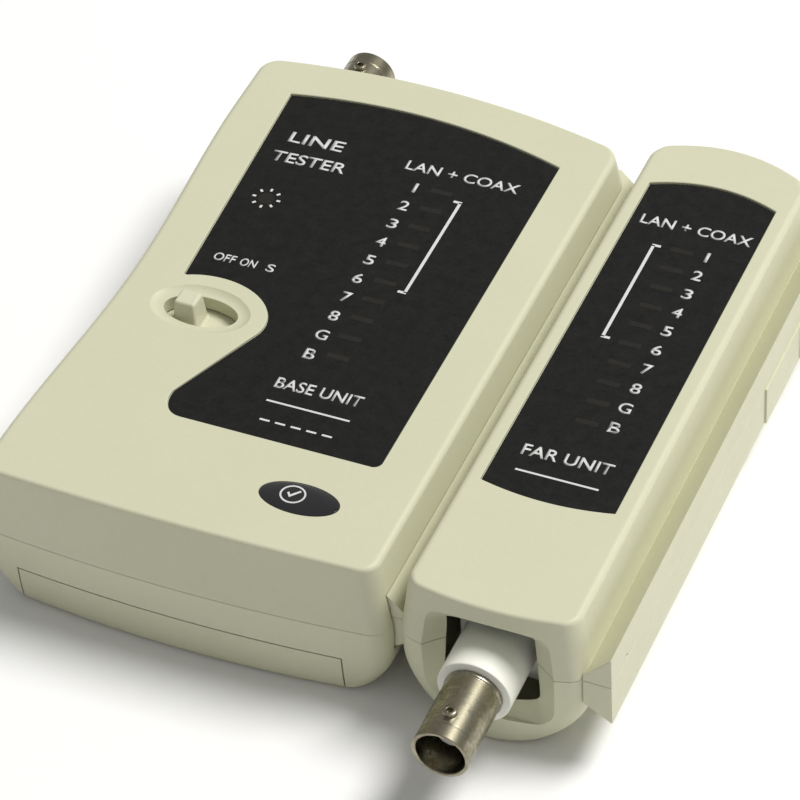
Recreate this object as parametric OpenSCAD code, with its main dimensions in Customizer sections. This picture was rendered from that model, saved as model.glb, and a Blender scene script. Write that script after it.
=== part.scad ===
// Network cable tester: a master unit and a remote unit that dock side by side on a dovetail.
// X runs across both units, Y from the near end to the far end, and Z up from the resting face.

/* [Case] */
// Height of both cases
case_h = 29; // [28.5:0.1:30]
// Half width of the master's top face
master_half_w = 35.3; // [35:0.1:36]
// Half width of the remote's top face
remote_half_w = 14.7; // [14.4:0.1:15]
// How far the sides lean out from the top face to the parting line
side_draft = 1.8; // [1.5:0.1:2]
// Height of the master's parting line
master_parting = 15.4; // [14.5:0.1:16]
// Height of the remote's parting line
remote_parting = 17.4; // [16.5:0.1:18]
// Wall thickness of the cases
wall = 2.2; // [2:0.1:2.4]
// Depth of the waist in the master's left side
waist_depth = 2.4; // [0:0.1:3]

/* [Docking] */
// Distance between the centre lines of the two units
dock_pitch = 54.7; // [54.5:0.1:55.2]
// Reach of the dovetail rail from the remote's centre line
rail_reach = 20.3; // [20.1:0.1:20.4]
// Clearance around the rail in the master's groove
rail_gap = 0.35; // [0.25:0.05:0.45]

/* [Switch] */
// Travel of the switch knob over its three positions
knob_travel = 4.2; // [3:0.2:4.4]
// Length of the oval slot around the knob
slot_len = 13.5; // [13.4:0.1:14]
// Width of the oval slot around the knob
slot_w = 7.1; // [7:0.1:7.4]

/* [Lamps] */
// Number of lamps in each row
lamp_count = 10; // [8:1:10]
// Distance between the lamps
lamp_pitch = 5; // [4.9:0.02:5.08]
// Length of one bar lamp
lamp_len = 5; // [4:0.1:5.2]

/* [Connectors] */
// Outer diameter of the coaxial barrel
barrel_d = 9.6; // [9.4:0.1:9.7]
// Height of the coaxial barrels' centre line
coax_z = 15; // [14.9:0.1:15.1]
// Length of the coaxial barrel in front of its plastic body
barrel_len = 14; // [13:0.1:15]
// Width of the modular jack's housing
jack_w = 15.9; // [15:0.1:16]

/* [Hidden] */
$fn = 48;
eps = 0.01;
ivory = [0.83, 0.83, 0.72];
board_green = [0.10, 0.36, 0.20];
nickel = [0.72, 0.70, 0.63];

// A level of a case is [z, half width, near corner y, near bow, far corner y, far bow, corner radius].
top_edge = 1.2;
master_top_levels = [
    [case_h, master_half_w - top_edge, -56.9, 0.9, 53.4, 4.1, 2.2],
    [case_h - 0.35, master_half_w - 0.35, -57.4, 0.9, 53.9, 4.1, 3],
    [case_h - top_edge, master_half_w, -57.7, 0.95, 54.3, 4.1, 3.2],
    [master_parting, master_half_w + side_draft, -58.4, 2, 55.4, 4.1, 3.5]
];
master_low_levels = [
    [master_parting, master_half_w + side_draft, -58.4, 2, 55.4, 4.1, 3.5],
    [9.5, master_half_w + side_draft - 0.3, -58.2, 2, 55.2, 4.1, 3.5],
    [6.2, master_half_w + 0.9, -58.1, 2, 55.1, 4.1, 3.5],
    [3.4, master_half_w - 0.9, -58, 2, 54.9, 4.1, 3.5],
    [1.4, master_half_w - 3.1, -57.8, 2, 54.7, 4.1, 3],
    [0.3, master_half_w - 5.7, -57.4, 2, 54.4, 4.1, 2.5],
    [0, master_half_w - 7.5, -56.6, 2, 53.8, 4.1, 2]
];
remote_draft = 1.4;
remote_top_levels = [
    [case_h, remote_half_w - top_edge, -56.2, 1.7, 54.8, 4.2, 1.8],
    [case_h - 0.35, remote_half_w - 0.35, -56.7, 1.7, 55.3, 4.2, 2.4],
    [case_h - top_edge, remote_half_w, -57, 1.75, 55.6, 4.2, 2.6],
    [remote_parting, remote_half_w + remote_draft, -57.8, 2.8, 56.4, 4.2, 2.8]
];
remote_low_levels = [
    [remote_parting, remote_half_w + remote_draft, -57.8, 2.8, 56.4, 4.2, 2.8],
    [13, remote_half_w + remote_draft, -57.7, 2.8, 56.3, 4.2, 2.8],
    [9, remote_half_w + 0.7, -57.6, 2.8, 56.2, 4.2, 2.8],
    [6, remote_half_w - 0.8, -57.5, 2.7, 56.1, 4.2, 2.8],
    [3.6, remote_half_w - 3, -57.4, 2.5, 56, 4.2, 2.8],
    [1.6, remote_half_w - 5.6, -57.2, 2.2, 55.8, 4.1, 2.4],
    [0.3, remote_half_w - 8.2, -56.8, 1.9, 55.4, 4, 2],
    [0, remote_half_w - 9.6, -56.2, 1.7, 54.8, 3.9, 1.6]
];
master_cavity_half = 32.4;
remote_cavity_half = 12.6;
ceiling = case_h - wall;
master_cavity_levels = [
    [ceiling, master_cavity_half, -55.4, 0.9, 51.8, 4.1, 2],
    [9, master_cavity_half, -56, 2, 53, 4.1, 2],
    [5.5, master_cavity_half - 1.4, -56, 2, 52.9, 4.1, 2],
    [wall, master_cavity_half - 5.4, -55.8, 2, 52.7, 4.1, 2]
];
remote_cavity_levels = [
    [ceiling, remote_cavity_half, -54.4, 1.7, 53, 4.2, 1.6],
    [12, remote_cavity_half, -55.2, 2.7, 54, 4.2, 1.6],
    [7.5, remote_cavity_half - 0.8, -55.2, 2.6, 53.8, 4.2, 1.6],
    [4.5, remote_cavity_half - 2.8, -55, 2.4, 53.6, 4.1, 1.6],
    [wall, remote_cavity_half - 5.6, -54.8, 2.2, 53.4, 4, 1.6]
];

// Dovetail, from the remote's centre line: outer and neck edges of the rail.
rail_neck = 16;
rail_out_top = 23.7;
rail_neck_top = 19.2;
rail_neck_low = 11.8;
rail_out_low = 9;
rail_near = -57.5;
groove_near = -55.6;
rail_far = 54;
rail_step = 0.35;
rail_step_ys = [15.5, 33];

// Switch, lamp and label places.
knob_rest = [-19.3, -10.4];
slot_at = [knob_rest[0] + knob_travel / 2, knob_rest[1]];
dish_rim = 2.2;
dish_sink = 0.6;
collar_rim = 1.2;
lamp_w = 2;
master_lamp_at = [9.6, 31.8];
remote_lamp_at = [54.2, 31.4];
power_lamp_at = [-18.7, 20];
power_lamp_d = 3;
overlay_t = 0.25;
overlay_z = case_h - 0.55;
overlay_room = 0.3;
badge_at = [17.3, -46.4];
badge_half = [6.9, 3.3];

// Circuit boards hang under the top faces, with the tall parts on their lower side.
board_t = 1.6;
board_low = 22.5;
board_top = board_low + board_t;
master_board = [[-29.6, -24], [31, 49]];
remote_board = [[43, -52], [66.4, 50]];
master_posts = [[-23, -20], [23, -20], [-23, 28.6], [23, 28.6]];
remote_posts = [[dock_pitch, -34], [dock_pitch, 36]];
post_r = 3;
post_foot = 10;
screw_d = 2.6;
screw_head_d = 5;
screw_head_z = 4.2;
screw_tip_z = 18;

// Connectors.
master_coax_x = -22.6;
master_coax_rim = 73.9;
remote_coax_x = dock_pitch - 0.5;
remote_coax_rim = -77.8;
coax_block = [14.5, 11, 14.5];
coax_nose_d = 12.6;
coax_nose_len = 12;
master_jack_at = [14, 57.5];
remote_jack_at = [dock_pitch, 58.6];
jack_h = 13.4;
jack_deep = 16;
jack_z = board_low - 0.2 - jack_h;
jack_mouth = [11.9, 14, 8.2];
jack_mouth_z = jack_z + 2.9;
contact_pitch = 1.02;

// Battery and its door.
battery_at = [-27.5, -54.8, 3.9];
battery_size = [46, 26.2, 17.2];
door_x = [-30, 29];
door_far = -26.2;
door_top = 8.4;
door_gap = 0.25;
tongue_half = 11.5;
tongue_z = [2.45, 3.5];

// Waist of the master's left side, a smooth dip around its middle.
waist_y = -4.5;
waist_reach = 48;
function waist(y) =
    abs(y - waist_y) > waist_reach ? 0 : waist_depth * pow(cos(90 * (y - waist_y) / waist_reach), 2);

// The far ends of both cases run back a little towards the left.
far_skew = 0.045;
function skewed(points) = [for (p = points) [p[0], p[1] - far_skew * p[0]]];
function far_rise(level) = pow(far_skew * level[1], 2) / (4 * level[5]);

// Outline of one level: bowed ends, rounded corners, and a waist of the given share on the left.
corner_steps = 4;
bow_steps = 8;
side_steps = 12;
function bow_y(x, w, s) = s * (1 - pow(x / w, 2));
function end_points(w, y, s, r, dir) = concat(
    [for (i = [corner_steps:-1:1]) let (a = 90 * i / corner_steps, x = -(w - r) - r * sin(a))
        [x, y + dir * (bow_y(x, w, s) - r * (1 - cos(a)))]],
    [for (i = [0:bow_steps]) let (x = (w - r) * (2 * i / bow_steps - 1))
        [x, y + dir * bow_y(x, w, s)]],
    [for (i = [1:corner_steps]) let (a = 90 * i / corner_steps, x = (w - r) + r * sin(a))
        [x, y + dir * (bow_y(x, w, s) - r * (1 - cos(a)))]]
);
function reversed(p) = [for (i = [len(p) - 1:-1:0]) p[i]];
function side_points(w, y0, y1, share) =
    [for (i = [1:side_steps - 1]) let (y = y0 + (y1 - y0) * i / side_steps)
        [-w + share * waist(y), y]];
function outline(level, share) =
    let (w = level[1], r = level[6])
    concat(
        end_points(w, level[2], level[3], r, -1),
        skewed(reversed(end_points(w, level[4], level[5], r, 1))),
        side_points(w, level[4] - r, level[2] + r, share)
    );

// Case block: the section over X and Z, the plan of the given level, and the lean of the two ends.
module case_block(levels, widest, share) {
    last = len(levels) - 1;
    z0 = levels[last][0];
    z1 = levels[0][0];
    intersection() {
        along_y(-80, 80) polygon(concat(
            [for (i = [0:last]) [-levels[i][1], levels[i][0]]],
            [for (i = [last:-1:0]) [levels[i][1], levels[i][0]]]
        ));
        translate([0, 0, z0]) linear_extrude(z1 - z0) polygon(outline(levels[widest], share));
        rotate([90, 0, 90]) translate([0, 0, -60]) linear_extrude(120) polygon(concat(
            [for (i = [0:last]) [levels[i][2] - levels[i][3], levels[i][0]]],
            [for (i = [last:-1:0]) [levels[i][4] + levels[i][5] + far_rise(levels[i]), levels[i][0]]]
        ));
    }
}

module rounded_rect(size, r) {
    square([size[0] - 2 * r, size[1]], center = true);
    square([size[0], size[1] - 2 * r], center = true);
    for (x = [-1, 1], y = [-1, 1]) translate([x * (size[0] / 2 - r), y * (size[1] / 2 - r)]) circle(r);
}

module oval(length, width) {
    polygon(arc_points([0, 0], [length / 2, width / 2], 0, 350, 35));
}

module box(low, high) {
    translate(low) cube(high - low);
}

// A bar along Y with the given X-Z section.
module along_y(y0, y1) {
    translate([0, y1, 0]) rotate([90, 0, 0]) linear_extrude(y1 - y0) children();
}

// A round bar along Y.
module rod_y(x, z, d, y0, y1) {
    translate([x, y0, z]) rotate([-90, 0, 0]) cylinder(d = d, h = y1 - y0);
}

// Section of the dovetail, from the remote's centre line, grown by a gap on all flanks.
module dovetail(side, gap) {
    flank_top = (rail_out_top - rail_neck_top) / (rail_reach - rail_neck);
    flank_low = (rail_neck_low - rail_out_low) / (rail_reach - rail_neck);
    root = rail_neck - 0.6;
    out = rail_reach + gap;
    polygon([
        [side * root, rail_neck_top - flank_top * 0.6 + gap],
        [side * out, rail_out_top + flank_top * gap + gap],
        [side * out, rail_out_low - flank_low * gap - gap],
        [side * root, rail_neck_low + flank_low * 0.6 - gap]
    ]);
}

module rails() {
    along_y(rail_near, rail_far) translate([dock_pitch, 0]) dovetail(1, 0);
    along_y(groove_near + rail_gap, rail_far) translate([dock_pitch, 0]) dovetail(-1, 0);
    for (y = rail_step_ys, reach = rail_step * (y == rail_step_ys[0] ? 1 : 2))
        box([dock_pitch + rail_reach - 1, y, rail_out_low], [dock_pitch + rail_reach + reach, rail_far, 17]);
}

module groove() {
    along_y(groove_near, 70) translate([dock_pitch, 0]) dovetail(-1, rail_gap);
}

// Overlay outlines: the master's wraps around the switch.
master_overlay_right = 26.5;
master_overlay_low = -35.4;
master_overlay_corner = 1.5;
scoop = [12, 8.9];
scoop_at = [-17, -10.7];
function arc_points(c, r, a0, a1, n) =
    [for (i = [0:n]) let (a = a0 + (a1 - a0) * i / n) c + [r[0] * cos(a), r[1] * sin(a)]];
module master_overlay_shape(grow) {
    right = master_overlay_right + grow;
    low = master_overlay_low - grow;
    polygon(concat(
        arc_points([right - master_overlay_corner, low + master_overlay_corner],
            [master_overlay_corner, master_overlay_corner], -90, 0, 4),
        [for (i = [0:10]) let (t = i / 10, x = right - t * (right + 26.3 + grow))
            [x, 44.6 + grow + 3 * t + 3.6 * (1 - pow(2 * t - 1, 2))]],
        [[-23.6 - grow, -2.9 - grow]],
        arc_points(scoop_at, scoop - [grow, grow], 121, -20, 12),
        arc_points([-9.2, low + 4.3], [3.6 + grow, 4.3], 165, 270, 5)
    ));
}
remote_overlay_x = [43, 65.9];
module remote_overlay_shape(grow) {
    x0 = remote_overlay_x[0] - grow;
    x1 = remote_overlay_x[1] + grow;
    bow = function(t) 1 - pow(2 * t - 1, 2);
    polygon(concat(
        [for (i = [0:8]) let (t = i / 8) [x0 + t * (x1 - x0), -31.8 - grow - 1.4 * bow(t)]],
        [for (i = [0:8]) let (t = i / 8) [x1 - t * (x1 - x0), 46.2 + grow + 2.6 * bow(t)]]
    ));
}

module badge_shape(grow) {
    translate(badge_at) oval(2 * (badge_half[0] + grow), 2 * (badge_half[1] + grow));
}

module lamp_row(at, length, width, z0, z1) {
    for (i = [0:lamp_count - 1])
        translate([at[0] - length / 2, at[1] - i * lamp_pitch - width / 2, z0])
            cube([length, width, z1 - z0]);
}

// Posts that the screws bite into, standing down from the top face.
module top_posts(posts) {
    for (p = posts) translate([p[0], p[1], post_foot]) cylinder(r = post_r, h = ceiling - post_foot + eps);
}
module pilot_holes(posts) {
    for (p = posts)
        translate([p[0], p[1], post_foot - 1]) cylinder(d = screw_d + 0.06, h = screw_tip_z - post_foot + 2);
}
module low_posts(posts) {
    for (p = posts) translate([p[0], p[1], 1]) cylinder(r = post_r + 0.6, h = post_foot - 1);
}
module screw_wells(posts) {
    for (p = posts) translate([p[0], p[1], -1]) {
        cylinder(d = screw_head_d + 0.6, h = screw_head_z + 2.8);
        cylinder(d = screw_d + 0.5, h = post_foot + 2);
    }
}
module case_screws(posts) {
    color("silver") for (p = posts) translate([p[0], p[1], screw_head_z]) difference() {
        union() {
            cylinder(d = screw_head_d, h = 1.8);
            cylinder(d = screw_d, h = screw_tip_z - screw_head_z);
        }
        for (turn = [0, 90]) rotate(turn) translate([-1.5, -0.35, -1]) cube([3, 0.7, 1.8]);
    }
}

// Windows in the cases for the modular jack and for the coaxial connector.
module jack_window(at) {
    box([at[0] - jack_w / 2 - 0.25, 44, jack_z - 0.25], [at[0] + jack_w / 2 + 0.25, 70, board_low + 0.05]);
}
module coax_window() {
    rod_y(master_coax_x, coax_z, coax_nose_d + 0.8, 44, 70);
}
remote_window_at = [remote_coax_x - 0.1, coax_z + 1.35];
remote_window = [14.8, 12.1];
remote_dish = [22.8, 19.9];
remote_dish_z = coax_z + 1.25;
dish_deep = 2.2;
module remote_coax_window() {
    box([remote_window_at[0] - remote_window[0] / 2, -70, remote_window_at[1] - remote_window[1] / 2],
        [remote_window_at[0] + remote_window[0] / 2, -50, remote_window_at[1] + remote_window[1] / 2]);
    rod_y(remote_coax_x, coax_z, coax_nose_d + 0.5, -70, -50);
    along_y(-70, -58.4 + dish_deep) translate([dock_pitch, remote_dish_z])
        rounded_rect(remote_dish, 3);
}

module master_top_shell() {
    color(ivory) difference() {
        union() {
            difference() {
                case_block(master_top_levels, 3, 1);
                case_block(master_cavity_levels, 1, 0.9);
            }
            top_posts(master_posts);
            translate([slot_at[0], slot_at[1], knob_plate_z[1] + 0.3]) linear_extrude(2)
                oval(slot_len + 2 * collar_rim, slot_w + 2 * collar_rim);
        }
        pilot_holes(master_posts);
        groove();
        translate([slot_at[0], slot_at[1], case_h - dish_sink]) linear_extrude(2)
            oval(slot_len + 2 * dish_rim, slot_w + 2 * dish_rim);
        translate([slot_at[0], slot_at[1], ceiling - 2]) linear_extrude(5) oval(slot_len, slot_w);
        translate([0, 0, overlay_z]) linear_extrude(2) master_overlay_shape(overlay_room);
        lamp_row(master_lamp_at, lamp_len + 0.3, lamp_w + 0.3, ceiling - 1, case_h);
        translate([power_lamp_at[0], power_lamp_at[1], ceiling - 1]) cylinder(d = power_lamp_d + 0.3, h = 5);
        translate([0, 0, case_h - 0.5]) linear_extrude(2) badge_shape(0.1);
        jack_window(master_jack_at);
        coax_window();
    }
}

module door_zone(gap, far) {
    box([door_x[0] + gap, -70, -1], [door_x[1] - gap, far, door_top - gap]);
}

module master_bottom_shell() {
    color(ivory) difference() {
        union() {
            difference() {
                case_block(master_low_levels, 0, 1);
                case_block(master_cavity_levels, 1, 0.9);
            }
            low_posts(master_posts);
            box([door_x[0], door_far + 0.5, wall - eps], [24, door_far + 2, 11]);
        }
        screw_wells(master_posts);
        groove();
        door_zone(0, door_far);
        jack_window(master_jack_at);
        coax_window();
        box([-tongue_half - 0.5, door_far, tongue_z[0] - 0.15],
            [tongue_half + 0.5, door_far + 3, tongue_z[1] + 0.3]);
    }
}

module battery_door() {
    color(ivory) difference() {
        union() {
            intersection() {
                case_block(master_low_levels, 0, 1);
                door_zone(door_gap, door_far - door_gap);
            }
            box([-tongue_half, door_far - 2, 1.5], [tongue_half, door_far - door_gap, tongue_z[1]]);
            box([-tongue_half, door_far - 2, tongue_z[0]], [tongue_half, door_far + 2.4, tongue_z[1]]);
        }
        difference() {
            case_block(master_cavity_levels, 1, 0.9);
            box([-tongue_half, door_far - 2, 1.5], [tongue_half, door_far + 4, tongue_z[1]]);
        }
        for (i = [0:4]) translate([-9 + i * 0.6, -50 + i * 2.4, -1]) cube([18 - i * 1.2, 1, 1.5]);
    }
}

module master_overlay() {
    color([0.13, 0.13, 0.12]) translate([0, 0, overlay_z]) linear_extrude(overlay_t) master_overlay_shape(0);
}

module oval_badge() {
    color([0.05, 0.05, 0.05]) {
        translate([0, 0, case_h - 0.5]) linear_extrude(0.8) badge_shape(0);
        translate([0, 0, case_h + 0.3]) linear_extrude(0.3) badge_shape(-0.9);
    }
}

// The knob is a tapered grip on a plate that slides just under the top face.
knob_plate = [[-9.4, -4.4], [9.4, 4.4]];
knob_plate_z = [24.4, 25.5];
knob_grip = [4.4, 5];
knob_top = [3.8, 3.6];
knob_top_z = 31;
module switch_knob() {
    at = [knob_rest[0], knob_rest[1], 0];
    color(ivory) translate(at) difference() {
        union() {
            box([knob_plate[0][0], knob_plate[0][1], knob_plate_z[0]],
                [knob_plate[1][0], knob_plate[1][1], knob_plate_z[1]]);
            hull() {
                translate([0, 0, knob_plate_z[1] - 0.2]) linear_extrude(0.1) square(knob_grip, center = true);
                translate([0, 0, knob_top_z - 0.1]) linear_extrude(0.1) square(knob_top, center = true);
            }
        }
        box([-1.6, -1.2, knob_plate_z[0] - 1], [1.6, 1.2, knob_plate_z[1]]);
    }
}

switch_body = [18, 7, 5.2];
module switch_contact_slider() {
    color([0.12, 0.12, 0.12]) translate([knob_rest[0], knob_rest[1], 0]) {
        box([-1.5, -1.1, 22.6], [1.5, 1.1, knob_plate_z[1] - 0.1]);
        box([-2.6, -1.1, 21.4], [2.6, 1.1, 22.6]);
    }
}

module slide_switch_body() {
    color("silver") translate([slot_at[0], slot_at[1], board_top - switch_body[2]]) difference() {
        union() {
            translate([-switch_body[0] / 2, -switch_body[1] / 2, 0]) cube(switch_body);
            for (x = [-6, -2, 2, 6]) translate([x - 0.4, -0.3, -3]) cube([0.8, 0.6, 3.1]);
        }
        translate([-6.4, -1.3, 1.6]) cube([12.8, 2.6, 8]);
    }
}

module board(low_high, posts) {
    difference() {
        box([low_high[0][0], low_high[0][1], board_low], [low_high[1][0], low_high[1][1], board_top]);
        for (p = posts) translate([p[0], p[1], board_low - 1]) cylinder(r = post_r + 0.3, h = 4);
        children();
    }
}

module master_circuit_board() {
    color(board_green) board(master_board, master_posts) {
        translate([slot_at[0] - switch_body[0] / 2 - 0.2, slot_at[1] - switch_body[1] / 2 - 0.2, board_low - 1])
            cube([switch_body[0] + 0.4, switch_body[1] + 0.4, 4]);
        legs(master_lamp_at, 0.35);
        round_legs(power_lamp_at, 0.35);
    }
}

// Two legs under each lamp of a row, and the same under a round lamp.
module legs(at, half) {
    for (i = [0:lamp_count - 1], side = [-1.27, 1.27])
        box([at[0] + side - half, at[1] - i * lamp_pitch - half, board_low - 1.5],
            [at[0] + side + half, at[1] - i * lamp_pitch + half, board_top + 0.1]);
}
module round_legs(at, half) {
    for (side = [-1.27, 1.27])
        box([at[0] + side - half, at[1] - half, board_low - 1.5],
            [at[0] + side + half, at[1] + half, board_top + 0.1]);
}

module bar_lamps(at) {
    color([0.75, 0.2, 0.15]) {
        lamp_row(at, lamp_len, lamp_w, board_top, overlay_z - 0.1);
        legs(at, 0.25);
    }
}

module master_lamps() {
    bar_lamps(master_lamp_at);
}

module power_lamp() {
    color([0.75, 0.2, 0.15]) {
        translate([power_lamp_at[0], power_lamp_at[1], board_top]) {
            cylinder(d = power_lamp_d, h = 2.6);
            translate([0, 0, 2.6]) sphere(d = power_lamp_d);
        }
        round_legs(power_lamp_at, 0.25);
    }
}

// A dual in-line chip under the board, with its rows of legs.
module dip_chip(at, pairs) {
    length = pairs * 2.54 - 1;
    color([0.08, 0.08, 0.09]) translate([at[0], at[1], board_low - 4]) {
        translate([-3.2, -length / 2, 0]) cube([6.4, length, 3.3]);
        for (i = [0:pairs - 1], side = [-1, 1]) {
            y = (i - (pairs - 1) / 2) * 2.54;
            translate([side * 3.5 - 0.5, y - 0.3, 1.5]) cube([1, 0.6, 0.5]);
            translate([side * 3.8 - 0.2, y - 0.3, 1.5]) cube([0.4, 0.6, 2.5]);
        }
    }
}

module counter_chip() {
    dip_chip([-8, 22], 8);
}

module timer_chip() {
    dip_chip([22, 18.5], 4);
}

// An axial component under the board, lying along X.
module axial(at, length, d) {
    z = board_low - d / 2 - 0.3;
    color([0.76, 0.62, 0.44]) {
        translate([at[0] - length / 2, at[1], z]) rotate([0, 90, 0]) cylinder(d = d, h = length);
        for (side = [-1, 1]) {
            x = at[0] + side * (length / 2 + 1.2);
            box([min(x, at[0] + side * length / 2) - 0.25, at[1] - 0.25, z - 0.25],
                [max(x, at[0] + side * length / 2) + 0.25, at[1] + 0.25, z + 0.25]);
            box([x - 0.25, at[1] - 0.25, z], [x + 0.25, at[1] + 0.25, board_low]);
        }
    }
}

module master_resistors() {
    for (i = [0:4]) axial([1, -1 - i * 4], 6.3, 2.3);
}

module timing_capacitor() {
    color([0.12, 0.18, 0.35]) translate([22, 4, board_low - 8.3]) cylinder(d = 5, h = 8);
    color("silver") for (x = [-1.25, 1.25])
        box([22 + x - 0.25, 3.75, board_low - 0.3 - eps], [22 + x + 0.25, 4.25, board_low]);
}

// Modular jack: a housing with a stepped mouth, and eight spring contacts.
module jack_housing(at) {
    color([0.16, 0.16, 0.17]) difference() {
        box([at[0] - jack_w / 2, at[1] - jack_deep, jack_z], [at[0] + jack_w / 2, at[1], jack_z + jack_h]);
        box([at[0] - jack_mouth[0] / 2, at[1] - jack_mouth[1], jack_mouth_z],
            [at[0] + jack_mouth[0] / 2, at[1] + 1, jack_mouth_z + jack_mouth[2]]);
        box([at[0] - 3.1, at[1] - jack_mouth[1], jack_mouth_z - 1.6], [at[0] + 3.1, at[1] + 1, jack_mouth_z + 1]);
    }
}
module jack_contacts(at) {
    z1 = jack_mouth_z + jack_mouth[2];
    color([0.85, 0.68, 0.3]) for (i = [0:7])
        translate([at[0] + (i - 3.5) * contact_pitch + 0.22, 0, 0]) rotate([0, -90, 0]) linear_extrude(0.44)
            polygon([[z1 - 0.1, at[1] - 2.5], [z1 - 0.6, at[1] - 2.5], [z1 - 2.6, at[1] - 12.6],
                [z1 - 2.1, at[1] - 12.6]]);
}

module master_jack_housing() {
    jack_housing(master_jack_at);
}
module master_jack_contacts() {
    jack_contacts(master_jack_at);
}

// Coaxial connector, drawn with its rim at the origin and its open end facing -Y.
bore_d = 8.3;
core_d = 4.8;
core_back = 4.5;
pin_d = 2.2;
lug_back = 4.7;
barrel_root = 9;
module coax_barrel() {
    color(nickel) difference() {
        union() {
            rod_y(0, 0, barrel_d, 0, barrel_len + barrel_root);
            translate([0, lug_back, -barrel_d / 2 - 0.9]) cylinder(d = 2.3, h = barrel_d + 1.8);
            rod_y(0, 0, barrel_d + 0.6, barrel_len - 1.6, barrel_len - 0.05);
        }
        rod_y(0, 0, bore_d, -1, barrel_len + barrel_root + 1);
        for (side = [-1, 1]) translate([0, lug_back, side * (barrel_d / 2 + 0.6)])
            cylinder(d = 1, h = 1.2, center = true);
    }
}
module coax_body() {
    color([0.92, 0.92, 0.86]) difference() {
        union() {
            rod_y(0, 0, coax_nose_d, barrel_len, barrel_len + coax_nose_len + 1);
            translate([-coax_block[0] / 2, barrel_len + coax_nose_len, -coax_block[2] / 2]) cube(coax_block);
        }
        rod_y(0, 0, barrel_d + 0.06, 0, barrel_len + barrel_root + 0.05);
    }
}
module coax_insulator() {
    color([0.93, 0.93, 0.9]) difference() {
        union() {
            rod_y(0, 0, core_d, core_back, barrel_len + 6);
            rod_y(0, 0, bore_d - 0.06, barrel_len, barrel_len + barrel_root);
        }
        rod_y(0, 0, pin_d + 0.06, 0, 40);
    }
}
module coax_contact() {
    color([0.85, 0.68, 0.3]) difference() {
        rod_y(0, 0, pin_d, core_back + 0.3, barrel_len + barrel_root);
        rod_y(0, 0, 1.1, 0, core_back + 5);
    }
}
module at_master_coax() {
    translate([master_coax_x, master_coax_rim, coax_z]) rotate([0, 0, 180]) children();
}
module at_remote_coax() {
    translate([remote_coax_x, remote_coax_rim, coax_z]) children();
}

module master_coax_body() {
    at_master_coax() coax_body();
}
module master_coax_barrel() {
    at_master_coax() coax_barrel();
}
module master_coax_insulator() {
    at_master_coax() coax_insulator();
}
module master_coax_contact() {
    at_master_coax() coax_contact();
}

// The battery lies across the near end, with its terminals towards the docking side.
module nine_volt_battery() {
    color([0.15, 0.2, 0.35]) translate(battery_at + [0, battery_size[1], battery_size[2]] / 2)
        rotate([90, 0, 90]) linear_extrude(battery_size[0]) rounded_rect([battery_size[1], battery_size[2]], 2);
}
terminal_ys = [battery_at[1] + 6.7, battery_at[1] + 19.3];
terminal_x = battery_at[0] + battery_size[0];
terminal_z = battery_at[2] + battery_size[2] / 2;
module battery_terminals() {
    color("silver") {
        translate([terminal_x, terminal_ys[0], terminal_z]) rotate([0, 90, 0]) cylinder(d = 5.6, h = 2.5);
        translate([terminal_x, terminal_ys[1], terminal_z]) rotate([0, 90, 0]) cylinder(d = 7.6, h = 2.5, $fn = 6);
    }
}
snap_t = 3;
module battery_snap() {
    color([0.1, 0.1, 0.1]) difference() {
        box([terminal_x + 2.7, battery_at[1] + 0.5, terminal_z - 6],
            [terminal_x + 2.7 + snap_t, battery_at[1] + battery_size[1] - 0.5, terminal_z + 6]);
        for (y = terminal_ys) translate([terminal_x + 2.5, y, terminal_z]) rotate([0, 90, 0])
            cylinder(d = 4, h = 1.2);
    }
}

// A round lead swept along its points.
lead_d = 1.3;
lead_sides = 8;
function unit(v) = v / norm(v);
function lead_ring(path, i, d) =
    let (
        ahead = path[min(i + 1, len(path) - 1)],
        behind = path[max(i - 1, 0)],
        t = unit(ahead - behind),
        u = unit(cross(t, [1, 0.2, 0.1])),
        v = cross(t, u)
    )
    [for (k = [0:lead_sides - 1]) let (a = 360 * k / lead_sides) path[i] + d / 2 * (cos(a) * u + sin(a) * v)];
module lead(path) {
    n = lead_sides;
    last = len(path) - 1;
    sides = [for (i = [0:last - 1], k = [0:n - 1]) let (j = (k + 1) % n)
        each [[i * n + k, i * n + j, (i + 1) * n + j], [i * n + k, (i + 1) * n + j, (i + 1) * n + k]]];
    caps = [[for (k = [n - 1:-1:0]) k], [for (k = [0:n - 1]) last * n + k]];
    polyhedron([for (i = [0:last], p = lead_ring(path, i, lead_d)) p], concat(sides, caps));
}
snap_back = terminal_x + 2.7 + snap_t;
positive_route = [
    [snap_back, -47.5, 14], [25.2, -47.5, 14], [26.5, -46.8, 14.9], [27.4, -45.2, 16.4], [27.9, -42.5, 17.8],
    [28.2, -39, 19], [28.4, -35, 19.8], [28.5, -31, 20.2], [28.6, -27, 20.4], [28.7, -23, 20.4],
    [28.8, -19, 20.4], [28.8, -17, 20.6], [28.8, -16.1, 21.3], [28.8, -16, 21.9], [28.8, -16, board_low]
];
negative_route = [
    [snap_back, -35.5, 14], [25.2, -35.5, 14], [26.6, -35, 14.5], [28, -33.8, 15.4], [29, -31.8, 16.2],
    [29.7, -29, 17], [30.1, -26, 17.6], [30.2, -23, 18.2], [30, -19, 18.8], [29.5, -15, 19.4],
    [29, -12.6, 20.1], [28.8, -11.4, 20.9], [28.8, -11, 21.8], [28.8, -11, board_low]
];
module positive_lead() {
    color("red") lead(positive_route);
}
module negative_lead() {
    color([0.08, 0.08, 0.08]) lead(negative_route);
}

module master_case_screws() {
    case_screws(master_posts);
}

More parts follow.
